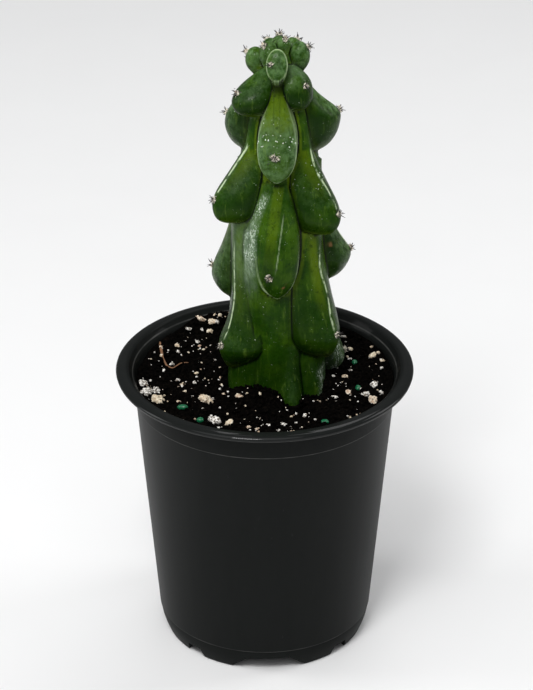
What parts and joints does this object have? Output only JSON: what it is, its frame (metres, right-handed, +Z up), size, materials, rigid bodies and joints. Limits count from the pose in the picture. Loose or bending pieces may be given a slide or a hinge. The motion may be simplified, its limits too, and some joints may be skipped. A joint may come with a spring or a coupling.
{
  "type": "potted boobie cactus",
  "caption": "Knobbly ribbed columnar cactus with drooping rounded tubercles, upright in gritty potting mix in a round black nursery pot.",
  "frame": {"origin": "on the axis of the pot, in the plane that its foot stands on", "axes": "+Z up along the pot's axis, -Y towards the front of the plant, +X to its right"},
  "size_m": [0.1524, 0.1524, 0.3313],
  "materials": {
    "cactus_skin": "waxy, semi-gloss, deep green",
    "areole": "matt felted wool, off-white to tan",
    "spine": "matt, cream to dark brown",
    "potting_mix": "rough, damp, near-black peat",
    "perlite": "matt, pitted white",
    "bark": "rough, tan to pinkish brown",
    "fertiliser_prill": "smooth coated, green",
    "pot_plastic": "semi-gloss, moulded, black"
  },
  "bodies": {
    "root": {"stem": "cactus_skin", "soil": "potting_mix", "pot": "pot_plastic"}
  },
  "joints": []
}
